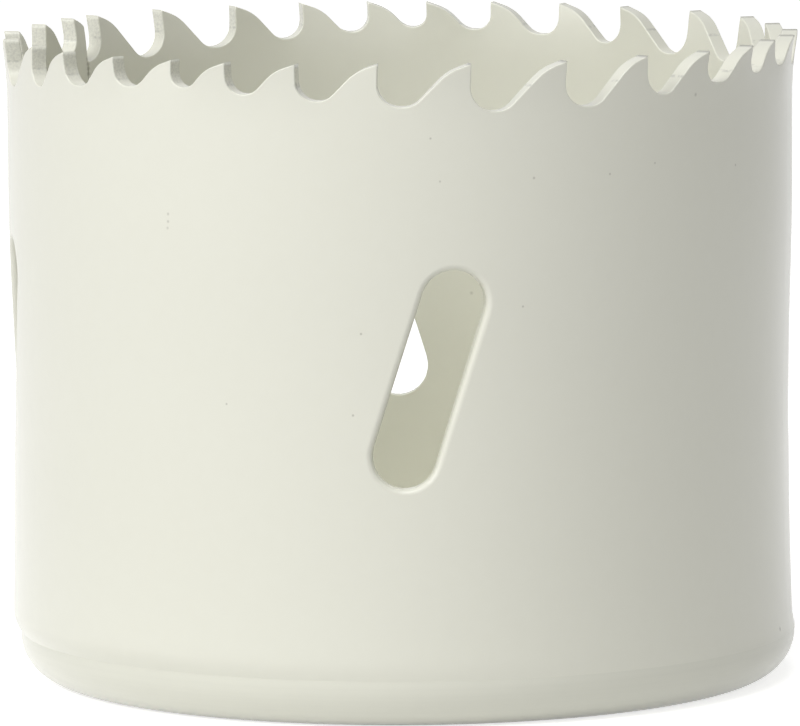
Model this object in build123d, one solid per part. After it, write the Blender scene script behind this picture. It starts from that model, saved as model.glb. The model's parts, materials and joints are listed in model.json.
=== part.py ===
from build123d import *
import math
import os

# A bi-metal hole saw: a toothed steel strip rolled into a cup and welded on a thick steel cap.
# Origin: centre of the cap's outer face. +Z runs from the cap to the teeth, and -Y through a slot.
# Seen from the teeth, the strip runs counter-clockwise from one end of its butt seam to the other,
# and every tooth cuts in that direction.

# Driving dimensions, in mm and degrees

# Cup: a straight toothed strip at the top, tapering to a slightly narrower body
cutting_diameter = 63.5
saw_height = 51.5
band_thickness = 1.3
body_inset = 0.37
taper_top_height = 40.0
taper_bottom_height = 24.0

# Cap: its rim is a little smaller than the cup and is welded slightly off the cup's axis
cap_thickness = 5.6
rim_thickness = 3.9
rim_inset = 0.25
rim_offset = 0.4
rim_corner_radius = 3.6
spigot_clearance = 0.05

# Arbor interface: 5/8-18 UNF thread, modelled at its minor diameter, and two drive-pin holes
thread_minor_diameter = 14.5
thread_chamfer = 0.8
pin_hole_diameter = 6.8
pin_hole_chamfer = 0.4
pin_circle_diameter = 25.4
pin_hole_count = 2

# Teeth: pitch to the next tooth and gullet depth, counted back along the strip from the seam,
# and repeated until the strip is full
gap_pattern = (
    (7.44, 3.70),
    (7.00, 3.35),
    (6.16, 3.00),
    (5.56, 2.50),
    (4.90, 2.15),
    (5.41, 2.30),
    (6.03, 2.50),
    (6.16, 3.00),
    (7.41, 3.55),
)
tooth_set = 0.5
hook_angle = 6.0
gullet_radius_share = 0.33
back_angle = 42.0
relief_angle = 9.0
shoulder_length = 1.5
cutting_edge_depth = 1.8
shortest_first_back = 1.2

# Butt seam of the rolled strip: it crosses the gullet after the last tooth, and the back of the
# first tooth is clipped short there
seam_angle = 143.7
seam_gap = 0.18
seam_open_depth = 5.0
last_tip_inset = 1.85
last_gullet_depth = 3.55
first_back_drop = 0.75

# Chip-ejection slots
slot_count = 4
slot_width = 5.05
slot_length = 17.5
slot_lean = 18.0
slot_centre_height = 27.2
slot_bevel = 0.35

# Derived sizes

root_radius = cutting_diameter / 2 - tooth_set
body_radius = root_radius - body_inset
rim_radius = root_radius - rim_inset
edge_height = saw_height - cutting_edge_depth
pitch_radius = root_radius - band_thickness / 2
strip_length = 2 * math.pi * pitch_radius
thread_radius = thread_minor_diameter / 2
cutter_reach = 4 * band_thickness


def ring_profile(outer_edge):
    """Half section of the band from the weld up, with the outer edge's curve given."""
    inner_edge = Pos(-band_thickness, 0, 0) * outer_edge
    bottom = Line(inner_edge @ 0, outer_edge @ 0)
    top = Line(inner_edge @ 1, outer_edge @ 1)
    return make_face([inner_edge, top, outer_edge, bottom])


def tip_positions():
    """Length along the strip of every tooth tip, counted from the seam, and each gap's pitch and depth."""
    tips = [strip_length - seam_gap - last_tip_inset]
    gaps = []
    while True:
        pitch, depth = gap_pattern[len(gaps) % len(gap_pattern)]
        if tips[0] - pitch < shortest_first_back:
            return tips, gaps
        tips.insert(0, tips[0] - pitch)
        gaps.insert(0, (pitch, depth))


def at_length(length):
    """Rotation that carries the +X direction to a length along the strip, counted from the seam."""
    return Rot(0, 0, seam_angle + math.degrees(length / pitch_radius))


def gullet_centre(depth):
    """Centre of a gullet's round bottom, from the tip before it at (0, 0)."""
    hook = math.radians(hook_angle)
    radius = depth * gullet_radius_share
    below = depth - radius
    return (radius - below * math.sin(hook)) / math.cos(hook), -below


def gullet_edges(depth, end_angle, widen):
    """Rake face from a tip at (0, 0), and the round bottom as far as a slope of end_angle."""
    radius = depth * gullet_radius_share
    centre_x, centre_y = gullet_centre(depth)
    points = []
    tangents = []
    for angle in (-90 - hook_angle, 0, end_angle):
        slope = math.radians(angle)
        points.append(((centre_x + radius * math.sin(slope)) * widen, centre_y - radius * math.cos(slope)))
        tangents.append((math.cos(slope) * widen, math.sin(slope)))
    return [Line((0, 0), points[0]), Spline(*points, tangents=tangents)]


def back_edges(start, tip_x, widen):
    """Sloping back from a gullet's end, and the rounded shoulder up to the next tip at (tip_x, 0)."""
    back, relief = math.radians(back_angle), math.radians(relief_angle)
    steep, gentle = math.tan(back), math.tan(relief)
    meeting_x = (start.X / widen * steep - start.Y - tip_x * gentle) / (steep - gentle)
    meeting_y = (meeting_x - tip_x) * gentle
    shoulder = min(shoulder_length, (tip_x - meeting_x) / 2)
    shoulder_start = (
        (meeting_x - shoulder * math.cos(back)) * widen,
        meeting_y - shoulder * math.sin(back),
    )
    shoulder_end = (
        (meeting_x + shoulder * math.cos(relief)) * widen,
        meeting_y + shoulder * math.sin(relief),
    )
    tangents = [(math.cos(back) * widen, math.sin(back)), (math.cos(relief) * widen, math.sin(relief))]
    return [
        Line(start, shoulder_start),
        Spline(shoulder_start, shoulder_end, tangents=tangents),
        Line(shoulder_end, (tip_x * widen, 0)),
    ]


def gullet_outline(pitch, depth, widen):
    """Outline of the metal milled away between a tip, at X = 0, and the next one, at X = pitch."""
    gullet = gullet_edges(depth, back_angle, widen)
    back = back_edges(gullet[-1] @ 1, pitch, widen)
    above = Polyline((pitch * widen, 0), (pitch * widen, depth), (0, depth), (0, 0))
    return gullet + back + [above]


def seam_outline(back_length, widen):
    """Outline of the last gullet, the open seam that ends it and the clipped back of the first tooth."""
    gullet = gullet_edges(last_gullet_depth, back_angle, widen)
    near, far = last_tip_inset * widen, (last_tip_inset + seam_gap) * widen
    clipped = (far, -first_back_drop)
    tip = (far + back_length * widen, 0)
    crack = Polyline(
        gullet[-1] @ 1,
        (near, (gullet[-1] @ 1).Y),
        (near, -seam_open_depth),
        (far, -seam_open_depth),
        clipped,
    )
    relief = math.radians(relief_angle)
    back = Spline(clipped, tip, tangents=[(1, 1), (math.cos(relief) * widen, math.sin(relief))])
    above = Polyline(tip, (tip[0], seam_open_depth), (0, seam_open_depth), (0, 0))
    return gullet + [crack, back, above]


def radial_cutter(outline, *sizes):
    """Solid with an outline's section, whose walls all point at the saw's axis."""
    sections = []
    for radius in (pitch_radius - cutter_reach, pitch_radius + cutter_reach):
        plane = Plane((radius, 0, saw_height), x_dir=(0, 1, 0), z_dir=(1, 0, 0))
        sections.append(plane * make_face(outline(*sizes, radius / pitch_radius)))
    return loft(sections, ruled=True)


def gap_cutters(tips, gaps):
    """One cutter for each gap between two teeth, in the order of the teeth before them."""
    cutters = [
        at_length(tip) * radial_cutter(gullet_outline, pitch, depth)
        for tip, (pitch, depth) in zip(tips, gaps)
    ]
    cutters.append(at_length(tips[-1]) * radial_cutter(seam_outline, tips[0]))
    return cutters


def slot_cutter():
    """Leaning obround through the wall at -Y."""
    face = Plane((0, 0, slot_centre_height), x_dir=(1, 0, 0), z_dir=(0, -1, 0))
    outline = Rot(0, 0, 90 - slot_lean) * SlotOverall(slot_length, slot_width)
    return extrude(face * outline, root_radius + band_thickness)


def build_band(cutters):
    """The rolled strip up to the cutting edge, with its slots, gullets and seam."""
    outer_edge = Polyline(
        (body_radius, 0, rim_thickness),
        (body_radius, 0, taper_bottom_height),
        (root_radius, 0, taper_top_height),
        (root_radius, 0, edge_height),
    )
    ring = revolve(ring_profile(outer_edge), Axis.Z)
    band = ring - [Rot(0, 0, index * 360 / slot_count) * slot_cutter() for index in range(slot_count)]
    mouths = [edge for edge in band.edges() if is_slot_mouth(edge)]
    return chamfer(mouths, slot_bevel) - cutters


def is_slot_mouth(edge):
    """True for an edge of a slot that lies on the band's outside."""
    middle = edge @ 0.5
    reach = math.hypot(middle.X, middle.Y)
    return abs(middle.Z - slot_centre_height) < slot_length / 2 and reach > pitch_radius - body_inset


def build_tooth(start, end, outward, cutters):
    """High-speed-steel tip of one tooth, with its set, between two lengths along the strip."""
    outer_edge = Line((root_radius, 0, edge_height), (root_radius + outward, 0, saw_height))
    arc = math.degrees((end - start) / pitch_radius)
    sector = at_length(start) * revolve(ring_profile(outer_edge), Axis.Z, revolution_arc=arc)
    return sector - cutters


def build_tips(tips, gaps, cutters):
    """All tooth tips, set outward in turn with one straight tooth in three."""
    gullets = [tip + gullet_centre(depth)[0] for tip, (pitch, depth) in zip(tips, gaps)]
    valleys = [0] + gullets + [strip_length - seam_gap]
    teeth = []
    for index in range(len(tips)):
        outward = 0 if index % 3 == 1 else tooth_set
        walls = [cutters[index - 1], cutters[index]]
        teeth.append(build_tooth(valleys[index], valleys[index + 1], outward, walls))
    return Compound(children=teeth)


def build_cap():
    """Thick disc with a rounded rim, a spigot inside the band, and the arbor's holes."""
    rim = extrude(Circle(rim_radius), rim_thickness)
    rim = fillet(rim.edges().group_by(Axis.Z)[0], rim_corner_radius)
    spigot = extrude(Circle(body_radius - band_thickness - spigot_clearance), cap_thickness)
    spigot = split(spigot, Plane.XY.offset(rim_thickness / 2))
    cap = Pos(rim_offset, 0, 0) * rim + spigot
    cap = cap - drilled_hole(thread_radius, thread_chamfer)
    pins = PolarLocations(pin_circle_diameter / 2, pin_hole_count)
    return cap - pins * drilled_hole(pin_hole_diameter / 2, pin_hole_chamfer)


def drilled_hole(radius, bevel):
    """Hole through the cap, on the Z axis, with a bevel at both mouths."""
    section = Polyline(
        (0, 0, 0),
        (radius + bevel, 0, 0),
        (radius, 0, bevel),
        (radius, 0, cap_thickness - bevel),
        (radius + bevel, 0, cap_thickness),
        (0, 0, cap_thickness),
        (0, 0, 0),
    )
    return revolve(make_face(section), Axis.Z)


def main():
    tips, gaps = tip_positions()
    cutters = gap_cutters(tips, gaps)
    os.makedirs("parts", exist_ok=True)
    export_step(build_band(cutters), "parts/toothed_band.step")
    export_step(build_tips(tips, gaps, cutters), "parts/tooth_tips.step")
    export_step(build_cap(), "parts/cap.step")


main()
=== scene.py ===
import bmesh
import bpy
import json
import math
import numpy as np
from mathutils import Matrix, Vector
from mathutils.geometry import delaunay_2d_cdt


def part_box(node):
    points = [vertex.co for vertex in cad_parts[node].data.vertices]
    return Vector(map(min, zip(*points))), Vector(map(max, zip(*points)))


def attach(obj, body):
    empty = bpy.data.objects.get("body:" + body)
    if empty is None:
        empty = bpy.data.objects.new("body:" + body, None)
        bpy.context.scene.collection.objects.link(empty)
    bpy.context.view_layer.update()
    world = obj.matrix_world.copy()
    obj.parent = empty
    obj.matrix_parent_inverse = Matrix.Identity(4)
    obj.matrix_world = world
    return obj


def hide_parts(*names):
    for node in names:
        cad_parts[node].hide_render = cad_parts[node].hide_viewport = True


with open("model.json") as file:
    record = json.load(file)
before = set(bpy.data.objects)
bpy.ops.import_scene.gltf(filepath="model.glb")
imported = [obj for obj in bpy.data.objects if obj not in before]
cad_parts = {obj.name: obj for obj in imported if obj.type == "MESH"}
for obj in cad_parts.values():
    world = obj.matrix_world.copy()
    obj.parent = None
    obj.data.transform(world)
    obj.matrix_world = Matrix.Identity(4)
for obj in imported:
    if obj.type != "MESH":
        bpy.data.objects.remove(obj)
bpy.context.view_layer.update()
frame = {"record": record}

# A painted hole saw. Its strip is outlined in the flat, with X along the strip from the seam and Y up
# from the cap's outer face. The outline then gets a thickness and rounded edges, and is rolled into the
# cup. Sizes are in millimetres and angles in degrees until a mesh is made, in metres.

MM = 0.001

# Sizes read from the frame

tips_low, tips_high = (np.array(corner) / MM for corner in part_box("tooth_tips"))
cap_low, cap_high = (np.array(corner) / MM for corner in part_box("cap"))
band_low = np.array(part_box("toothed_band")[0]) / MM
mounts = {mount["name"]: mount["dims"] for mount in frame["record"]["mounts"]}

SAW_HEIGHT = tips_high[2]
EDGE_HEIGHT = tips_low[2]
RIM_THICKNESS = band_low[2]
CAP_THICKNESS = cap_high[2]
RIM_RADIUS = (cap_high[0] - cap_low[0]) / 2
RIM_OFFSET = (cap_high[0] + cap_low[0]) / 2
THREAD_RADIUS = mounts["arbor_thread"]["r_mm"]
PIN_CIRCLE_RADIUS = mounts["drive_pins"]["pcd_mm"] / 2
PIN_HOLE_RADIUS = mounts["drive_pins"]["hole_r_mm"]
PIN_HOLE_COUNT = mounts["drive_pins"]["count"]

# Sizes repeated from the part's source

ROOT_RADIUS = 31.25
BAND_THICKNESS = 1.3
BODY_INSET = 0.37
TAPER_TOP_HEIGHT = 40.0
TAPER_BOTTOM_HEIGHT = 24.0
RIM_CORNER_RADIUS = 3.6
SPIGOT_CLEARANCE = 0.05
THREAD_CHAMFER = 0.8
PIN_HOLE_CHAMFER = 0.4
GAP_PITCHES = (7.44, 7.00, 6.16, 5.56, 4.90, 5.41, 6.03, 6.16, 7.41)
TOOTH_SET = 0.5
SHORTEST_FIRST_BACK = 1.2
SEAM_ANGLE = 143.7
SEAM_GAP = 0.18
SEAM_OPEN_DEPTH = 5.0
LAST_TIP_INSET = 1.85
FIRST_BACK_DROP = 0.75
SLOT_COUNT = 4
SLOT_WIDTH = 5.05
SLOT_LENGTH = 17.5
SLOT_LEAN = 18.0
SLOT_CENTRE_HEIGHT = 27.2

BODY_RADIUS = ROOT_RADIUS - BODY_INSET
PITCH_RADIUS = ROOT_RADIUS - BAND_THICKNESS / 2
STRIP_LENGTH = 2 * math.pi * PITCH_RADIUS

# The punched slots have a rolled-over outer edge of about this radius, and the coat of paint rounds
# every other edge by this much
SLOT_EDGE_RADIUS = 0.5
PAINT_RADIUS = 0.11

# The wall bulges by this much between its taper and the cap, and widens again towards the cap
BODY_FULLNESS = 0.07
BASE_FLARE = 0.28
BASE_FLARE_HEIGHT = 18.0

# The weld with the cap is turned off to a curve that meets the rim, starting this high above it
WELD_HEIGHT = 1.7

# The teeth more closely than in the part's source: depth of each gap in GAP_PITCHES, a wide arc under
# the rake face, a flat of at least GULLET_FLAT, an arc up into the back, and a shoulder before the tip
GAP_DEPTHS = (3.70, 3.28, 2.85, 2.42, 2.06, 2.22, 2.52, 3.02, 3.58)
HOOK_ANGLE = 1.5
GULLET_ARC_SHARE = 0.52
GULLET_ARC_STRETCH = 1.02
GULLET_FLAT = 0.12
BACK_ANGLE = 46
BACK_ARC = 1.6
SHOULDER_RUN = 1.7
SHOULDER_DROP = 0.58
SHOULDER_ROUND = 0.9

# Two teeth in three are set outward. The set starts gently at this height, and along the strip it eases
# from each tooth to the next by repeated averaging over this length.
STRAIGHT_TOOTH = 1
SET_CYCLE = 3
SET_START_HEIGHT = 46.3
SET_BLEND = 1.5
SET_PASSES = 3
SET_SAMPLES = 4000

# Arbor thread: the groove's flanks start and end at these shares of the pitch from the crest's middle
THREAD_PITCH = 25.4 / 18
THREAD_DEPTH = 0.62
THREAD_CREST = 0.0625
THREAD_ROOT = 0.45

# How finely the meshes follow their shapes
ROUND_STEPS = 4
RAKE_STEPS = 4
GULLET_STEPS = 10
BACK_STEP = 0.36
BACK_ARC_STEPS = 5
SHOULDER_STEPS = 7
TIP_STEPS = 2
CRACK_STEP = 0.3
SEAM_STEPS = 34
BASE_STEPS = 200
WELD_ROWS = (0.25, 0.5, 0.8, 1.15, 1.55)
SLOT_END_STEPS = 14
SLOT_SIDE_STEPS = 8
RIM_CORNER_STEPS = 24
CIRCLE_POINTS = 256
HOLE_POINTS = 96
THREAD_ROWS = 90

# Spacing of the points inside a sheet, and their least distance to its edges as a share of it
GRID_SPACING = 1.3
GRID_CLEARANCE = 0.4

# Least distance from a tooth's corner to the next point, so that rounded edges never cross
CORNER_CLEARANCE = 0.25

# Two edges of an outline count as one straight line below this sine of the angle between them
STRAIGHT_SINE = 0.02

MERGE_DISTANCE = 0.002
FILL_TOLERANCE = 1e-7
SHARP_ANGLE = 35

# Colours of the coat: its two shades, the rim where it was turned, the rough rake faces, and the marks,
# whose colour also paints the shade inside the open seam's crack
PAINT = (0.855, 0.855, 0.755, 1)
PAINT_SHADED = (0.83, 0.825, 0.718, 1)
TURNED_PAINT = (0.79, 0.79, 0.69, 1)
RAKE_GREY = (0.52, 0.52, 0.47, 1)
MARK_AND_SHADE_COLOUR = (0.3, 0.29, 0.23, 1)

# Noise of the coat, in cycles per metre
CLOUD_SCALE = 45
GRAIN_SCALE = 900
PEEL_SCALE = 1400
GLOSS_SCALE = 70
CRUST_SCALE = 5200
LINE_BREAK_SCALE = 2500
TURNING_SCALE = 2600

# Noise values between which each pattern goes from none to full
GLOSS_CONTRAST = (0.2, 0.8)
CRUST_CONTRAST = (0.35, 0.7)
LINE_BREAK_CONTRAST = (0.4, 0.6)
TURNING_CONTRAST = (0.3, 0.7)

ROUGHNESS = (0.22, 0.27)
BUMP_STRENGTH = 0.25
BUMP_DISTANCE = 0.02

# Share of the turned colour in the rim's turning lines, from the faintest to the strongest
TURNING_SHARES = (0.55, 0.95)

# How far a wall of a tooth has to face along the strip to count as rake face or back, from none to all
RAKE_FACING = (0.55, 0.85)
BACK_FACING = (-0.35, -0.6)

# The grey bloom fades in over this height below the tips' weld, which shows as a broken line
BLOOM_STRENGTH = 0.55
BLOOM_FADE = 1.2
WELD_LINE_STRENGTH = 0.6
WELD_LINE_EDGES = (0.14, 0.03)

# Small marks in the coat: the pixel of the 800 x 726 picture where each shows, its size in
# millimetres and its darkness
OUTSIDE_MARKS = (
    ((168.0, 214.0), 0.16, 0.5),
    ((168.0, 221.5), 0.16, 0.5),
    ((167.5, 228.0), 0.16, 0.4),
    ((361.0, 334.0), 0.13, 0.7),
    ((353.0, 415.5), 0.13, 0.7),
    ((430.5, 138.5), 0.12, 0.6),
    ((440.0, 181.5), 0.12, 0.5),
    ((534.0, 178.0), 0.14, 0.6),
    ((610.0, 174.0), 0.12, 0.6),
    ((655.0, 163.0), 0.12, 0.5),
    ((735.5, 165.0), 0.14, 0.5),
    ((523.0, 306.5), 0.12, 0.6),
    ((226.5, 404.0), 0.12, 0.6),
    ((695.0, 94.5), 0.2, 0.6),
    ((779.5, 629.0), 0.25, 0.8),
    ((298.5, 87.5), 0.32, 0.9),
    ((295.5, 85.0), 0.28, 0.9),
    ((470.0, 65.0), 0.28, 0.8),
    ((470.5, 70.0), 0.22, 0.6),
)
INSIDE_MARKS = (((471.5, 293.0), 0.2, 0.4),)

# The open seam's crack is painted dark inside the wall at these heights: painted shade, together with its
# unpainted steel
CRACK_SHADE_HEIGHTS = (46.9, 47.3, 47.7, 48.1)
CRACK_SHADE_SIZE = 0.3

# The wall's radius changes with height, so the point that shows at a pixel is found in this many rounds
WALL_ROUNDS = 3

# Camera, for a picture of 800 x 726 pixels
CAMERA_AZIMUTH = -94.0
CAMERA_DISTANCE = 716.3
CAMERA_HEIGHT = 109.5
CAMERA_PITCH = 0.1174
CAMERA_ROLL = -0.006
FOCAL_PIXELS = 9020
CENTRE_SHIFT = (1.3, -1.3)
IMAGE_WIDTH = 800
IMAGE_HEIGHT = 726
SENSOR_WIDTH = 36
CAMERA_REACH = 10

# Lamps: angle from the camera's side, angle above the floor, diameter and power in watts
LAMPS = {
    "key": (-55, 30, 600, 3.75),
    "overhead": (-15, 62, 700, 4.8),
}
LAMP_DISTANCE = 1000

SURROUNDINGS = (0.8, 0.8, 0.8, 1)
FILL_STRENGTH = 0.27
FLOOR_SIZE = 6000
FLOOR_COLOUR = (0.85, 0.85, 0.85, 1)
FLOOR_GLOW = 0.72


# Outlines in the flat


def hermite(start, end, start_direction, end_direction, steps):
    """Points of a smooth curve from start up to but not including end."""
    start, end = np.array(start), np.array(end)
    reach = np.linalg.norm(end - start)
    leave = np.array(start_direction) / np.linalg.norm(start_direction) * reach
    arrive = np.array(end_direction) / np.linalg.norm(end_direction) * reach
    t = np.linspace(0, 1, steps, endpoint=False)[:, None]
    return (
        (2 * t**3 - 3 * t**2 + 1) * start
        + (t**3 - 2 * t**2 + t) * leave
        + (3 * t**2 - 2 * t**3) * end
        + (t**3 - t**2) * arrive
    )


def straight(start, end, steps):
    """Points of a straight line from start up to but not including end."""
    t = np.linspace(0, 1, steps, endpoint=False)[:, None]
    return np.array(start) * (1 - t) + np.array(end) * t


def circle(radius, count, centre=(0.0, 0.0)):
    """Points of a circle, counter-clockwise."""
    turns = np.linspace(0, 2 * math.pi, count, endpoint=False)
    return np.stack([centre[0] + radius * np.cos(turns), centre[1] + radius * np.sin(turns)], axis=1)


def tip_positions():
    """Length along the strip of every tip, counted from the seam, and each gap's pitch and depth."""
    tips = [STRIP_LENGTH - SEAM_GAP - LAST_TIP_INSET]
    gaps = []
    while True:
        number = len(gaps) % len(GAP_PITCHES)
        if tips[0] - GAP_PITCHES[number] < SHORTEST_FIRST_BACK:
            return tips, gaps
        tips.insert(0, tips[0] - GAP_PITCHES[number])
        gaps.insert(0, (GAP_PITCHES[number], GAP_DEPTHS[number]))


def gullet_points(depth):
    """Rake face from a tip at (0, 0), and the wide arc as far as the gullet's lowest point."""
    radius = depth * GULLET_ARC_SHARE
    width = radius * GULLET_ARC_STRETCH
    rake_length = depth - radius
    rake_end = np.array([-rake_length * math.tan(math.radians(HOOK_ANGLE)), -rake_length])
    lowest = np.array([rake_end[0] + width, -depth])
    turns = np.linspace(0, math.pi / 2, GULLET_STEPS + 1)
    arc = lowest + np.stack([-np.cos(turns) * width, (1 - np.sin(turns)) * radius], axis=1)
    return np.concatenate([straight((0, 0), rake_end, RAKE_STEPS), arc])


def gap_outline(pitch, depth):
    """Tooth edge from a tip, at X = 0, to just before the next one. Y is height above the tips."""
    gullet = gullet_points(depth)
    lowest = gullet[-1]
    slope = math.radians(BACK_ANGLE)
    up_back = np.array([math.cos(slope), math.sin(slope)])
    shoulder = np.array([pitch - SHOULDER_RUN, -SHOULDER_DROP])
    back_foot = shoulder[0] - (shoulder[1] - lowest[1]) / math.tan(slope)
    run = min(BACK_ARC * math.tan(slope / 2), back_foot - lowest[0] - GULLET_FLAT)
    arc_start = np.array([back_foot - run, lowest[1]])
    back_start = np.array([back_foot, lowest[1]]) + up_back * run
    to_tip = np.array([SHOULDER_RUN, SHOULDER_DROP]) / math.hypot(SHOULDER_RUN, SHOULDER_DROP)
    round_start, round_end = shoulder - up_back * SHOULDER_ROUND, shoulder + to_tip * SHOULDER_ROUND
    flat_steps = 1 + int((arc_start[0] - lowest[0]) / BACK_STEP)
    back_steps = max(2, round(np.linalg.norm(round_start - back_start) / BACK_STEP))
    return np.concatenate(
        [
            gullet[:-1],
            straight(lowest, arc_start, flat_steps),
            hermite(arc_start, back_start, (1, 0), up_back, BACK_ARC_STEPS),
            straight(back_start, round_start, back_steps),
            hermite(round_start, round_end, up_back, to_tip, SHOULDER_STEPS),
            straight(round_end, (pitch, 0), TIP_STEPS),
        ]
    )


def seam_outline(back_length):
    """Edge of the last gullet, the open seam that ends it and the clipped back of the first tooth."""
    near, far = LAST_TIP_INSET, LAST_TIP_INSET + SEAM_GAP
    gullet = gullet_points(GAP_DEPTHS[-1])
    gullet = gullet[gullet[:, 0] < near - CORNER_CLEARANCE]
    ledge = (near, -GAP_DEPTHS[-1])
    near_bottom, far_bottom = (near, -SEAM_OPEN_DEPTH), (far, -SEAM_OPEN_DEPTH)
    clipped = (far, -FIRST_BACK_DROP)
    near_steps = round((SEAM_OPEN_DEPTH - GAP_DEPTHS[-1]) / CRACK_STEP)
    far_steps = round((SEAM_OPEN_DEPTH - FIRST_BACK_DROP) / CRACK_STEP)
    tip = (far + back_length, 0)
    return np.concatenate(
        [
            gullet,
            straight(ledge, near_bottom, near_steps),
            straight(near_bottom, far_bottom, 1),
            straight(far_bottom, clipped, far_steps),
            hermite(clipped, tip, (1, 1), (SHOULDER_RUN, SHOULDER_DROP), BACK_ARC_STEPS),
        ]
    )


def tooth_line(tips, gaps):
    """The whole strip's toothed edge, from one gullet bottom round to the same one again."""
    pieces = [gap_outline(*gap) + (tip, SAW_HEIGHT) for tip, gap in zip(tips, gaps)]
    pieces.append(seam_outline(tips[0]) + (tips[-1], SAW_HEIGHT))
    line = np.concatenate(pieces)
    cut = int(np.argmin(line[: len(pieces[0]), 1]))
    again = line[: cut + 1] + (STRIP_LENGTH, 0)
    return np.concatenate([line[cut:], again])


def split_line(line, height):
    """Splits the toothed edge at a height into the runs below it and the runs above it, in order."""
    below, above = [[line[0]]], []
    is_below = True
    for last, point in zip(line[:-1], line[1:]):
        if (point[1] < height) != is_below:
            share = (height - last[1]) / (point[1] - last[1])
            crossing = last + (point - last) * share
            (below if is_below else above)[-1].append(crossing)
            is_below = not is_below
            (below if is_below else above).append([crossing])
        (below if is_below else above)[-1].append(point)
    return [clear_ends(run) for run in below], [clear_ends(run) for run in above]


def clear_ends(run):
    """Drops the points that lie too close to a run's two ends."""
    run = np.array(run)
    keep = np.ones(len(run), bool)
    for end in (run[0], run[-1]):
        keep &= np.linalg.norm(run - end, axis=1) > CORNER_CLEARANCE
    keep[[0, -1]] = True
    return run[keep]


class Loop:
    """A closed outline in the flat: points, which of its edges are rounded, and which are left open."""

    def __init__(self, points, rounded=None, left_open=None, outer_round=PAINT_RADIUS):
        self.points = np.array(points, float)
        count = len(self.points)
        self.rounded = np.ones(count, bool) if rounded is None else np.array(rounded)
        self.left_open = np.zeros(count, bool) if left_open is None else np.array(left_open)
        self.outer_round = outer_round
        self.inward, self.outward_normal = self.corner_moves()

    def corner_moves(self):
        """For each corner, how it moves as the rounded edges move in by 1, and its outward direction."""
        edges = np.roll(self.points, -1, axis=0) - self.points
        edges /= np.linalg.norm(edges, axis=1)[:, None]
        normals = np.stack([-edges[:, 1], edges[:, 0]], axis=1)
        before, after = np.roll(normals, 1, axis=0), normals
        move_before = np.roll(self.rounded, 1).astype(float)
        move_after = self.rounded.astype(float)
        moves = np.zeros_like(self.points)
        for i in range(len(moves)):
            matrix = np.array([before[i], after[i]])
            if abs(np.linalg.det(matrix)) < STRAIGHT_SINE:
                mean = (before[i] + after[i]) / np.linalg.norm(before[i] + after[i])
                moves[i] = mean * (move_before[i] + move_after[i]) / 2
            else:
                moves[i] = np.linalg.solve(matrix, (move_before[i], move_after[i]))
        outward = -(before * move_before[:, None] + after * move_after[:, None])
        length = np.linalg.norm(outward, axis=1)
        outward /= np.where(length > 0, length, 1)[:, None]
        return moves, outward

    def inset(self, amount):
        return self.points + self.inward * amount


def inside(points, polygon):
    """Which points lie inside a closed polygon."""
    x, y = points[:, 0], points[:, 1]
    result = np.zeros(len(points), bool)
    for (x0, y0), (x1, y1) in zip(polygon, np.roll(polygon, -1, axis=0)):
        crosses = (y0 > y) != (y1 > y)
        if y0 != y1:
            result ^= crosses & (x < (x1 - x0) * (y - y0) / (y1 - y0) + x0)
    return result


def distance_to(points, polygon):
    """Distance from each point to the nearest edge of a polygon."""
    nearest = np.full(len(points), np.inf)
    for start, end in zip(polygon, np.roll(polygon, -1, axis=0)):
        along = end - start
        t = np.clip((points - start) @ along / (along @ along), 0, 1)
        nearest = np.minimum(nearest, np.linalg.norm(points - start - t[:, None] * along, axis=1))
    return nearest


def grid_points(polygons, spacing):
    """Evenly spaced points inside the first polygon and outside the others, clear of all edges."""
    low, high = polygons[0].min(axis=0), polygons[0].max(axis=0)
    columns, rows = (np.maximum(1, np.round((high - low) / spacing))).astype(int)
    lines = np.linspace(low[0], high[0], columns + 1), np.linspace(low[1], high[1], rows + 1)
    grid = np.stack(np.meshgrid(*lines), axis=-1).reshape(-1, 2)
    grid = grid[inside(grid, polygons[0])]
    for polygon in polygons[1:]:
        grid = grid[~inside(grid, polygon)]
    for polygon in polygons:
        grid = grid[distance_to(grid, polygon) > spacing * GRID_CLEARANCE]
    return grid


def fill(polygons, spacing=None, rows=None):
    """Triangles between a first polygon and the holes in it, with points inside where a spacing is given.

    Rows of given points take the place of the evenly spaced ones at their height and below.
    """
    extra = grid_points(polygons, spacing) if spacing else np.zeros((0, 2))
    if rows is not None:
        top = rows[:, 1].max() + spacing * GRID_CLEARANCE
        extra = np.concatenate([extra[extra[:, 1] > top], rows])
    points = np.concatenate(list(polygons) + [extra])
    edges, start = [], 0
    for polygon in polygons:
        count = len(polygon)
        edges += [(start + i, start + (i + 1) % count) for i in range(count)]
        start += count
    flat = [Vector(point) for point in points]
    found, _, faces, origins, _, _ = delaunay_2d_cdt(flat, edges, [], 0, FILL_TOLERANCE)
    if len(found) != len(points):
        raise ValueError(f"an outline crosses itself: {len(found)} points from {len(points)}")
    index = [origin[0] for origin in origins]
    triangles = np.array([[index[corner] for corner in face] for face in faces])
    centres = points[triangles].mean(axis=1)
    keep = inside(centres, polygons[0])
    for polygon in polygons[1:]:
        keep &= ~inside(centres, polygon)
    return extra, triangles[keep]


# Sheets with rounded edges


def rounding(radius):
    """Steps of a rounded edge as (inset, depth, share of outward direction), from the face to the wall."""
    turns = np.linspace(0, math.pi / 2, ROUND_STEPS + 1)
    return [(radius * (1 - math.sin(a)), radius * (1 - math.cos(a)), math.sin(a)) for a in turns]


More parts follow.
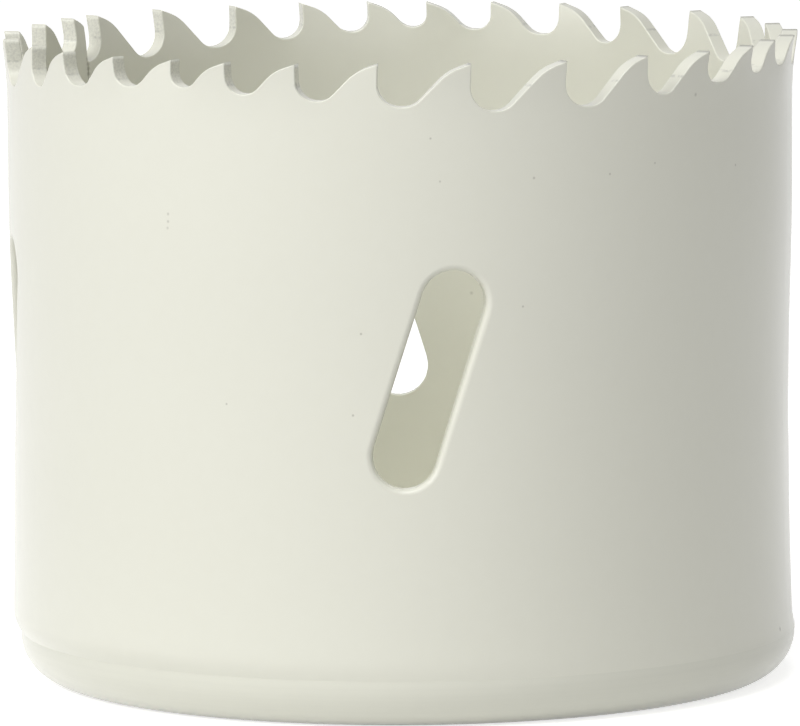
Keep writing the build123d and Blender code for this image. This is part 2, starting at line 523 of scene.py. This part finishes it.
def plate(loops, thickness, place, spacing=None, rows=None):
    """Vertices, normals and faces of a sheet with rounded edges, bent by place().

    place(points, depth, outward, share, side) returns positions and normals in space.
    """
    vertices, normals, faces = [], [], []
    total = 0
    for side in (1, -1):
        radii = [loop.outer_round if side > 0 else PAINT_RADIUS for loop in loops]
        outlines = [loop.inset(radius) for loop, radius in zip(loops, radii)]
        extra, triangles = fill(outlines, spacing, rows)
        flat = np.concatenate(outlines + [extra])
        depth = 0 if side > 0 else thickness
        position, normal = place(flat, depth, np.zeros_like(flat), 0, side)
        vertices.append(position)
        normals.append(normal)
        faces += [tuple(face if side > 0 else face[::-1]) for face in (triangles + total).tolist()]
        total += len(flat)
    for loop in loops:
        inner = rounding(PAINT_RADIUS)[::-1]
        rings = [(inset, depth, share, 1) for inset, depth, share in rounding(loop.outer_round)]
        rings += [(inset, thickness - depth, share, -1) for inset, depth, share in inner]
        count = len(loop.points)
        for number, (inset, depth, share, side) in enumerate(rings):
            position, normal = place(loop.inset(inset), depth, loop.outward_normal, share, side)
            vertices.append(position)
            normals.append(normal)
            if number:
                for i in np.flatnonzero(~loop.left_open).tolist():
                    j = (i + 1) % count
                    faces.append((total + j, total - count + j, total - count + i, total + i))
            total += count
    return np.concatenate(vertices), np.concatenate(normals), faces


def add_object(name, mesh):
    piece = bpy.data.objects.new(name, mesh)
    bpy.context.collection.objects.link(piece)
    return piece


def bent_mesh(name, vertices, normals, faces):
    """Makes an object in metres, welds what coincides and keeps the given normals.

    Its attribute "facing" says how far each point's surface faces along the strip, from -1 to 1.
    """
    mesh = bpy.data.meshes.new(name)
    mesh.from_pydata((vertices * MM).tolist(), [], faces)
    piece = add_object(name, mesh)
    layer = mesh.attributes.new("wanted_normal", "FLOAT_VECTOR", "POINT")
    layer.data.foreach_set("vector", normals.astype(np.float32).ravel())
    around = vertices[:, 0] * normals[:, 1] - vertices[:, 1] * normals[:, 0]
    around /= np.hypot(vertices[:, 0], vertices[:, 1])
    facing = mesh.attributes.new("facing", "FLOAT", "POINT")
    facing.data.foreach_set("value", around.astype(np.float32))
    weld = piece.modifiers.new("weld", "WELD")
    weld.merge_threshold = MERGE_DISTANCE * MM
    bpy.context.view_layer.update()
    evaluated = piece.evaluated_get(bpy.context.evaluated_depsgraph_get())
    welded = bpy.data.meshes.new_from_object(evaluated)
    piece.modifiers.clear()
    piece.data = welded
    bpy.data.meshes.remove(mesh)
    welded.name = name
    wanted = np.zeros(len(welded.vertices) * 3, np.float32)
    welded.attributes["wanted_normal"].data.foreach_get("vector", wanted)
    welded.shade_smooth()
    welded.normals_split_custom_set_from_vertices(wanted.reshape(-1, 3).tolist())
    welded.attributes.remove(welded.attributes["wanted_normal"])
    return piece


# The rolled strip and its teeth


def wall_radius(height):
    """Radius and slope of the band's outside: a toothed strip that eases into a narrower body."""
    taper = TAPER_TOP_HEIGHT - TAPER_BOTTOM_HEIGHT
    share = np.clip((height - TAPER_BOTTOM_HEIGHT) / taper, 0, 1)
    flare = np.clip(1 - (height - RIM_THICKNESS) / BASE_FLARE_HEIGHT, 0, 1)
    widening = BODY_INSET - BODY_FULLNESS
    radius = BODY_RADIUS + BODY_FULLNESS + widening * share**2 * (3 - 2 * share) + BASE_FLARE * flare**2
    slope = widening * 6 * share * (1 - share) / taper - 2 * BASE_FLARE * flare / BASE_FLARE_HEIGHT
    return radius, slope


def weld_curve(height, angle):
    """How far the turned-off weld brings the wall's outside in towards the rim, and its slope."""
    rim = RIM_OFFSET * np.cos(angle) + np.sqrt(RIM_RADIUS**2 - (RIM_OFFSET * np.sin(angle)) ** 2)
    step = wall_radius(RIM_THICKNESS)[0] - rim
    share = np.clip(1 - (height - RIM_THICKNESS) / WELD_HEIGHT, 0, 1)
    return step * share**2, 2 * step * share / WELD_HEIGHT


def set_curve(tips, gaps):
    """Positions along the strip, and the tooth set there, easing from each tooth to the next."""
    ends = [tip + depth * GULLET_ARC_SHARE for tip, (pitch, depth) in zip(tips, gaps)]
    sets = np.array([0 if index % SET_CYCLE == STRAIGHT_TOOTH else TOOTH_SET for index in range(len(tips))])
    positions = np.linspace(0, STRIP_LENGTH, SET_SAMPLES, endpoint=False)
    values = sets[np.searchsorted(ends, positions)]
    reach = round(SET_BLEND / 2 * SET_SAMPLES / STRIP_LENGTH)
    average = np.ones(2 * reach + 1) / (2 * reach + 1)
    for _ in range(SET_PASSES):
        values = np.convolve(np.concatenate([values[-reach:], values, values[:reach]]), average, "valid")
    return positions, values


def band_place(tips, gaps):
    """Returns the function that rolls a point of the flat strip into the cup."""
    positions, values = set_curve(tips, gaps)
    changes = np.gradient(values, positions)
    set_height = SAW_HEIGHT - SET_START_HEIGHT

    def place(points, depth, outward, share, side):
        length = points[:, 0] % STRIP_LENGTH
        height = points[:, 1]
        radius, slope = wall_radius(height)
        lift = np.clip((height - SET_START_HEIGHT) / set_height, 0, 1)
        tooth_set = np.interp(length, positions, values, period=STRIP_LENGTH)
        change = np.interp(length, positions, changes, period=STRIP_LENGTH)
        radius = radius + tooth_set * lift**2 - depth
        slope = slope + tooth_set * 2 * lift / set_height
        angle = math.radians(SEAM_ANGLE) + length / PITCH_RADIUS
        if side > 0:
            inward, tilt = weld_curve(height, angle)
            radius, slope = radius - inward, slope + tilt
        radial = np.stack([np.cos(angle), np.sin(angle), 0 * angle], axis=1)
        along = np.stack([-np.sin(angle), np.cos(angle), 0 * angle], axis=1)
        up = np.array([0.0, 0.0, 1.0])
        position = radial * radius[:, None] + up * height[:, None]
        face = (radial - up * slope[:, None] - along * (change * lift**2)[:, None]) * side
        wall = along * outward[:, :1] + up * outward[:, 1:]
        has_wall = np.linalg.norm(outward, axis=1)[:, None] > 0
        normal = np.where(has_wall, face * math.sqrt(1 - share**2) + wall * share, face)
        return position, normal / np.linalg.norm(normal, axis=1)[:, None]

    return place


def slot_loop(index, first_length):
    """Outline of one slot in the flat strip, clockwise, as a hole."""
    centre_angle = math.radians(-90 + index * 360 / SLOT_COUNT - SEAM_ANGLE)
    centre = (centre_angle * PITCH_RADIUS) % STRIP_LENGTH
    if centre < first_length:
        centre += STRIP_LENGTH
    half, round_radius = (SLOT_LENGTH - SLOT_WIDTH) / 2, SLOT_WIDTH / 2
    turns = np.linspace(-math.pi / 2, math.pi / 2, SLOT_END_STEPS + 1)
    end = np.stack([half + np.cos(turns) * round_radius, np.sin(turns) * round_radius], axis=1)
    side = straight((half, round_radius), (-half, round_radius), SLOT_SIDE_STEPS)[1:]
    outline = np.concatenate([end, side, -end, -side])
    lean = math.radians(90 - SLOT_LEAN)
    turn = np.array([[math.cos(lean), math.sin(lean)], [-math.sin(lean), math.cos(lean)]])
    stretch = PITCH_RADIUS / BODY_RADIUS
    outline = outline @ turn * (stretch, 1) + (centre, SLOT_CENTRE_HEIGHT)
    return Loop(outline[::-1], outer_round=SLOT_EDGE_RADIUS)


def band_loops(below):
    """Outline of the strip below the cutting edge, and of its slots."""
    first, last = below[0][0], below[-1][-1]
    top = np.concatenate(below)[::-1]
    left = straight(first, (first[0], RIM_THICKNESS), SEAM_STEPS)[1:]
    base = straight((first[0], RIM_THICKNESS), (last[0], RIM_THICKNESS), BASE_STEPS)
    right = straight((last[0], RIM_THICKNESS), last, SEAM_STEPS)
    points = np.concatenate([top, left, base, right])
    rounded = np.ones(len(points), bool)
    left_open = np.zeros(len(points), bool)
    seen = 0
    for run in below[::-1][:-1]:
        seen += len(run)
        rounded[seen - 1] = False
    start = len(top) - 1
    rounded[start:] = False
    left_open[start : start + len(left)] = True
    left_open[start + len(left) + len(base) :] = True
    slots = [slot_loop(index, first[0]) for index in range(SLOT_COUNT)]
    return [Loop(points, rounded, left_open)] + slots


def weld_points(first, last):
    """Close rows of points in the flat strip just above its weld with the cap."""
    lengths = np.linspace(first, last, BASE_STEPS + 1)[1:-1]
    return np.array([(length, RIM_THICKNESS + row) for row in WELD_ROWS for length in lengths])


def build_band(place, below):
    rows = weld_points(below[0][0][0], below[-1][-1][0])
    parts = plate(band_loops(below), BAND_THICKNESS, place, GRID_SPACING, rows)
    return bent_mesh("painted_band", *parts)


def build_tips(place, above):
    """All tooth tips as one piece of separate closed solids."""
    vertices, normals, faces = [], [], []
    total = 0
    for run in above:
        loop = Loop(run[::-1], [True] * (len(run) - 1) + [False])
        position, normal, tooth_faces = plate([loop], BAND_THICKNESS, place)
        vertices.append(position)
        normals.append(normal)
        faces += [tuple(corner + total for corner in face) for face in tooth_faces]
        total += len(position)
    return bent_mesh("painted_tooth_tips", np.concatenate(vertices), np.concatenate(normals), faces)


# The cap


def ring_faces(count, rows):
    """Quads between rows of points that each hold count points."""
    faces = []
    for start in range(0, (rows - 1) * count, count):
        for i in range(count):
            j = (i + 1) % count
            faces.append((start + i, start + j, start + count + j, start + count + i))
    return faces


def lathe(profile, count, centre=(0.0, 0.0)):
    """Rows of points from (radius, height) pairs turned about a vertical axis, with their faces."""
    rows = []
    for radius, height in profile:
        rows.append(np.column_stack([circle(radius, count, centre), np.full(count, height)]))
    return np.concatenate(rows), ring_faces(count, len(rows))


def cap_face(outer, holes, height, up):
    """Flat face of the cap between its outer circle and its holes."""
    loops = [circle(*outer)] + [circle(*hole) for hole in holes]
    _, triangles = fill(loops)
    flat = np.concatenate(loops)
    points = np.column_stack([flat, np.full(len(flat), height)])
    return points, [tuple(face if up else face[::-1]) for face in triangles.tolist()]


def rim_profile():
    """Outside of the cap's rim, from its bottom face up to the weld, as (radius, height)."""
    corner = RIM_CORNER_RADIUS
    turns = np.linspace(0, math.pi / 2, RIM_CORNER_STEPS + 1)
    profile = [(RIM_RADIUS - corner + corner * math.sin(a), corner - corner * math.cos(a)) for a in turns]
    return profile + [(RIM_RADIUS, RIM_THICKNESS)]


def spigot_profile():
    """Outside of the cap's step inside the band, as (radius, height)."""
    spigot = BODY_RADIUS - BAND_THICKNESS - SPIGOT_CLEARANCE
    edge = [(spigot - depth, CAP_THICKNESS - inset) for inset, depth, _ in rounding(PAINT_RADIUS)]
    return [(spigot, RIM_THICKNESS)] + edge


def pin_hole_profile():
    """Wall of a drive-pin hole with its bevelled mouths, from the top down, as (radius, height)."""
    mouth = PIN_HOLE_RADIUS + PIN_HOLE_CHAMFER
    return [
        (mouth, CAP_THICKNESS),
        (PIN_HOLE_RADIUS, CAP_THICKNESS - PIN_HOLE_CHAMFER),
        (PIN_HOLE_RADIUS, PIN_HOLE_CHAMFER),
        (mouth, 0),
    ]


def thread_wall():
    """Threaded wall of the arbor hole, from the top face down, with its bevelled mouths."""
    turns = np.linspace(0, 1, HOLE_POINTS, endpoint=False)
    angle = turns * 2 * math.pi
    rows = []
    for height in np.linspace(CAP_THICKNESS, 0, THREAD_ROWS):
        phase = (height / THREAD_PITCH - turns) % 1
        from_crest = 0.5 - np.abs(phase - 0.5)
        groove = np.clip((from_crest - THREAD_CREST) / (THREAD_ROOT - THREAD_CREST), 0, 1)
        bevel = max(THREAD_CHAMFER - height, THREAD_CHAMFER - (CAP_THICKNESS - height), 0)
        radius = np.maximum(THREAD_RADIUS + THREAD_DEPTH * groove, THREAD_RADIUS + bevel)
        rows.append(np.column_stack([radius * np.cos(angle), radius * np.sin(angle), 0 * angle + height]))
    return np.concatenate(rows), ring_faces(HOLE_POINTS, THREAD_ROWS)


def build_cap():
    """The cap: rounded rim, step inside the band, threaded arbor hole and drive-pin holes."""
    rim, spigot, pin_hole = rim_profile(), spigot_profile(), pin_hole_profile()
    rim_centre = (RIM_OFFSET, 0.0)
    pin_centres = circle(PIN_CIRCLE_RADIUS, PIN_HOLE_COUNT)
    holes = [(THREAD_RADIUS + THREAD_CHAMFER, HOLE_POINTS)]
    holes += [(pin_hole[0][0], HOLE_POINTS, centre) for centre in pin_centres]
    bottom_edge = (rim[0][0], CIRCLE_POINTS, rim_centre)
    ledge_edge = (rim[-1][0], CIRCLE_POINTS, rim_centre)
    spigot_foot = (spigot[0][0], CIRCLE_POINTS)
    top_edge = (spigot[-1][0], CIRCLE_POINTS)
    parts = [
        lathe(rim, CIRCLE_POINTS, rim_centre),
        lathe(spigot, CIRCLE_POINTS),
        cap_face(bottom_edge, holes, 0.0, False),
        cap_face(ledge_edge, [spigot_foot], RIM_THICKNESS, True),
        cap_face(top_edge, holes, CAP_THICKNESS, True),
        thread_wall(),
    ]
    parts += [lathe(pin_hole, HOLE_POINTS, centre) for centre in pin_centres]
    vertices, faces, total = [], [], 0
    for points, part_faces in parts:
        vertices.append(points)
        faces += [tuple(corner + total for corner in face) for face in part_faces]
        total += len(points)
    return turned_mesh("painted_cap", np.concatenate(vertices), faces)


def turned_mesh(name, vertices, faces):
    """Makes a welded object in metres, smooth where its faces meet at less than SHARP_ANGLE."""
    mesh = bpy.data.meshes.new(name)
    mesh.from_pydata((vertices * MM).tolist(), [], faces)
    work = bmesh.new()
    work.from_mesh(mesh)
    bmesh.ops.remove_doubles(work, verts=work.verts, dist=MERGE_DISTANCE * MM)
    bmesh.ops.recalc_face_normals(work, faces=work.faces)
    for edge in work.edges:
        edge.smooth = len(edge.link_faces) == 2 and edge.calc_face_angle() < math.radians(SHARP_ANGLE)
    work.to_mesh(mesh)
    work.free()
    mesh.shade_smooth()
    return add_object(name, mesh)


# Materials


class Nodes:
    """Short way to write the nodes of a material or a world."""

    def __init__(self, owner):
        owner.use_nodes = True
        self.tree = owner.node_tree
        self.tree.nodes.clear()

    def add(self, kind, inputs=None, **settings):
        node = self.tree.nodes.new(kind)
        for setting, value in settings.items():
            setattr(node, setting, value)
        for socket, value in (inputs or {}).items():
            if isinstance(value, bpy.types.NodeSocket):
                self.tree.links.new(value, node.inputs[socket])
            else:
                node.inputs[socket].default_value = value
        return node

    def math(self, operation, *values):
        return self.add("ShaderNodeMath", dict(enumerate(values)), operation=operation).outputs[0]

    def place(self):
        return self.add("ShaderNodeTexCoord").outputs["Object"]

    def height(self):
        return self.add("ShaderNodeSeparateXYZ", {0: self.place()}).outputs["Z"]

    def noise(self, scale, detail=2.0, roughness=0.5, place=None):
        inputs = {"Vector": place or self.place(), "Scale": scale, "Detail": detail, "Roughness": roughness}
        return self.add("ShaderNodeTexNoise", inputs).outputs["Fac"]

    def ramp(self, value, start, end, low=0.0, high=1.0):
        """Goes evenly from low to high as a value goes from start to end, and stays level beyond."""
        inputs = {"Value": value, "From Min": start, "From Max": end, "To Min": low, "To Max": high}
        return self.add("ShaderNodeMapRange", inputs).outputs[0]

    def mix(self, share, first, second):
        """Mixes two colours. Sockets 0, 6 and 7 are the node's factor and its two colours."""
        return self.add("ShaderNodeMix", {0: share, 6: first, 7: second}, data_type="RGBA").outputs[2]


def on_wall(pixel, depth):
    """Point of the wall that shows at a pixel: of its near outside, or of its far side at a depth."""
    view = camera_matrix()
    right = pixel[0] - IMAGE_WIDTH / 2 - CENTRE_SHIFT[0]
    down = pixel[1] - IMAGE_HEIGHT / 2 - CENTRE_SHIFT[1]
    start = view.translation / MM
    line = (view.to_3x3() @ Vector((right, -down, -FOCAL_PIXELS))).normalized()
    radius = BODY_RADIUS
    for _ in range(WALL_ROUNDS):
        square = line.xy.length_squared
        half = start.xy.dot(line.xy) / square
        swing = math.sqrt(half**2 - (start.xy.length_squared - radius**2) / square)
        point = start + line * (swing - half if depth else -swing - half)
        radius = wall_radius(point.z)[0] - depth
    return point


def mark_and_shade_list():
    """All marks of the coat, and the painted shade in the open seam's crack, as (point, size, darkness)."""
    marks = [(on_wall(pixel, 0), size, darkness) for pixel, size, darkness in OUTSIDE_MARKS]
    marks += [(on_wall(pixel, BAND_THICKNESS), size, darkness) for pixel, size, darkness in INSIDE_MARKS]
    # Painted shade inside the open seam's crack, at full darkness, also standing for its unpainted steel
    for height in CRACK_SHADE_HEIGHTS:
        radius = wall_radius(height)[0] - BAND_THICKNESS
        angle = math.radians(SEAM_ANGLE)
        point = Vector((radius * math.cos(angle), radius * math.sin(angle), height))
        marks.append((point, CRACK_SHADE_SIZE, 1.0))
    return marks


def mark_and_shade_share(nodes):
    """Share of the dark mark colour at a point of the wall, including the painted shade in the open seam's
    crack.
    """
    total = 0.0
    for point, size, darkness in mark_and_shade_list():
        reach = nodes.add("ShaderNodeVectorMath", {0: nodes.place(), 1: point * MM}, operation="DISTANCE")
        share = nodes.ramp(reach.outputs["Value"], size * MM, 0, 0, darkness)
        total = nodes.math("MAXIMUM", total, share)
    return total


def toothed_finish(nodes, colour, relief):
    """Adds the marks with the painted shade in the open seam's crack, a rough grey bloom on the rake faces,
    and the weld line of the tips.
    """
    colour = nodes.mix(mark_and_shade_share(nodes), colour, MARK_AND_SHADE_COLOUR)
    level = nodes.height()
    facing = nodes.add("ShaderNodeAttribute", attribute_name="facing").outputs["Fac"]
    rake, back = nodes.ramp(facing, *RAKE_FACING), nodes.ramp(facing, *BACK_FACING)
    crust = nodes.noise(CRUST_SCALE, 3, 0.65)
    near_tip = nodes.ramp(level, (EDGE_HEIGHT - BLOOM_FADE) * MM, EDGE_HEIGHT * MM)
    rough_top = nodes.math("MULTIPLY", rake, near_tip)
    bloom = nodes.math("MULTIPLY", rough_top, nodes.ramp(crust, *CRUST_CONTRAST))
    colour = nodes.mix(nodes.math("MULTIPLY", bloom, BLOOM_STRENGTH), colour, RAKE_GREY)
    gap = nodes.math("ABSOLUTE", nodes.math("SUBTRACT", level, EDGE_HEIGHT * MM))
    line = nodes.ramp(gap, WELD_LINE_EDGES[0] * MM, WELD_LINE_EDGES[1] * MM)
    line = nodes.math("MULTIPLY", line, nodes.math("MAXIMUM", rake, back))
    breaks = nodes.ramp(nodes.noise(LINE_BREAK_SCALE), *LINE_BREAK_CONTRAST)
    line = nodes.math("MULTIPLY", line, breaks)
    colour = nodes.mix(nodes.math("MULTIPLY", line, WELD_LINE_STRENGTH), colour, RAKE_GREY)
    return colour, nodes.math("ADD", relief, nodes.math("MULTIPLY", rough_top, crust))


def turned_finish(nodes, colour, relief):
    """Adds the turning lines of the cap."""
    upright = nodes.add("ShaderNodeCombineXYZ", {"Z": nodes.height()}).outputs[0]
    lines = nodes.noise(TURNING_SCALE, place=upright)
    share = nodes.ramp(lines, *TURNING_CONTRAST, *TURNING_SHARES)
    return nodes.mix(share, colour, TURNED_PAINT), relief


def painted_metal(name, add_finish):
    """Off-white powder coat: faint cloudiness, fine orange peel and slightly uneven gloss."""
    material = bpy.data.materials.new(name)
    nodes = Nodes(material)
    cloud = nodes.math("ADD", nodes.noise(CLOUD_SCALE, 1), nodes.noise(GRAIN_SCALE, 3))
    colour = nodes.mix(nodes.math("MULTIPLY", cloud, 0.5), PAINT, PAINT_SHADED)
    colour, relief = add_finish(nodes, colour, nodes.noise(PEEL_SCALE))
    distance = BUMP_DISTANCE * MM
    bump = nodes.add("ShaderNodeBump", {"Height": relief, "Strength": BUMP_STRENGTH, "Distance": distance})
    roughness = nodes.ramp(nodes.noise(GLOSS_SCALE, 1), *GLOSS_CONTRAST, *ROUGHNESS)
    inputs = {"Base Color": colour, "Roughness": roughness, "Normal": bump.outputs[0]}
    shader = nodes.add("ShaderNodeBsdfPrincipled", inputs)
    nodes.add("ShaderNodeOutputMaterial", {"Surface": shader.outputs[0]})
    return material


# Camera, light and floor


def camera_matrix():
    """Place and direction of the camera, in metres."""
    azimuth = math.radians(CAMERA_AZIMUTH)
    place = Vector((math.cos(azimuth) * CAMERA_DISTANCE, math.sin(azimuth) * CAMERA_DISTANCE, CAMERA_HEIGHT))
    turn = Matrix.Rotation(azimuth + math.pi / 2, 4, "Z")
    tilt = Matrix.Rotation(math.pi / 2 - CAMERA_PITCH, 4, "X")
    roll = Matrix.Rotation(CAMERA_ROLL, 4, "Z")
    return Matrix.Translation(place * MM) @ turn @ tilt @ roll


def add_camera():
    data = bpy.data.cameras.new("camera")
    data.sensor_width = SENSOR_WIDTH
    data.lens = FOCAL_PIXELS * SENSOR_WIDTH / IMAGE_WIDTH
    data.shift_x, data.shift_y = -CENTRE_SHIFT[0] / IMAGE_WIDTH, CENTRE_SHIFT[1] / IMAGE_WIDTH
    data.clip_end = CAMERA_REACH
    camera = add_object("camera", data)
    camera.matrix_world = camera_matrix()
    bpy.context.scene.camera = camera


def add_lamp(name, turn, elevation, size, power):
    """Round area lamp at a direction from the saw, facing it."""
    angle, rise = math.radians(CAMERA_AZIMUTH + turn), math.radians(elevation)
    centre = Vector((0, 0, SAW_HEIGHT / 2))
    direction = Vector((math.cos(angle) * math.cos(rise), math.sin(angle) * math.cos(rise), math.sin(rise)))
    data = bpy.data.lights.new(name, "AREA")
    data.shape = "DISK"
    data.size = size * MM
    data.energy = power
    lamp = add_object(name, data)
    lamp.location = (centre + direction * LAMP_DISTANCE) * MM
    lamp.rotation_euler = direction.to_track_quat("Z", "Y").to_euler()


def add_world():
    """Pale surroundings: a weak fill for the saw, but at full strength to the camera and in reflections."""
    world = bpy.data.worlds.new("studio")
    bpy.context.scene.world = world
    nodes = Nodes(world)
    path = nodes.add("ShaderNodeLightPath").outputs
    shown = nodes.math("MAXIMUM", path["Is Camera Ray"], path["Is Transmission Ray"])
    shown = nodes.math("MAXIMUM", shown, path["Is Glossy Ray"])
    strength = nodes.ramp(shown, 0, 1, FILL_STRENGTH, 1)
    background = nodes.add("ShaderNodeBackground", {"Color": SURROUNDINGS, "Strength": strength})
    nodes.add("ShaderNodeOutputWorld", {"Surface": background.outputs[0]})


def white_floor():
    """Material of the floor, which glows to the camera and in reflections."""
    material = bpy.data.materials.new("white_floor")
    nodes = Nodes(material)
    path = nodes.add("ShaderNodeLightPath").outputs
    seen = nodes.math("MAXIMUM", path["Is Camera Ray"], path["Is Glossy Ray"])
    lit = nodes.add("ShaderNodeBsdfDiffuse", {"Color": FLOOR_COLOUR})
    glow = nodes.add("ShaderNodeEmission", {"Color": (1, 1, 1, 1), "Strength": FLOOR_GLOW})
    both = nodes.add("ShaderNodeAddShader", {0: lit.outputs[0], 1: glow.outputs[0]})
    shader = nodes.add("ShaderNodeMixShader", {0: seen, 1: lit.outputs[0], 2: both.outputs[0]})
    nodes.add("ShaderNodeOutputMaterial", {"Surface": shader.outputs[0]})
    return material


def add_floor():
    """White floor that still takes the saw's shadow."""
    half = FLOOR_SIZE / 2 * MM
    corners = [(-half, -half, 0), (half, -half, 0), (half, half, 0), (-half, half, 0)]
    mesh = bpy.data.meshes.new("floor")
    mesh.from_pydata(corners, [], [(0, 1, 2, 3)])
    mesh.materials.append(white_floor())
    floor = add_object("floor", mesh)


def dress(piece, node, slot, add_finish):
    """Paints a piece that stands for a node, and ties it to the frame."""
    piece.data.materials.append(painted_metal(slot, add_finish))
    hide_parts(node)
    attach(piece, "root")


def build_saw():
    tips, gaps = tip_positions()
    below, above = split_line(tooth_line(tips, gaps), EDGE_HEIGHT)
    place = band_place(tips, gaps)
    dress(build_band(place, below), "toothed_band", "painted_steel", toothed_finish)
    dress(build_tips(place, above), "tooth_tips", "painted_teeth", toothed_finish)
    dress(build_cap(), "cap", "painted_cap", turned_finish)


build_saw()
add_camera()
add_world()
add_floor()
for lamp_name, lamp in LAMPS.items():
    add_lamp(lamp_name, *lamp)

bpy.context.scene.view_settings.view_transform = "Standard"
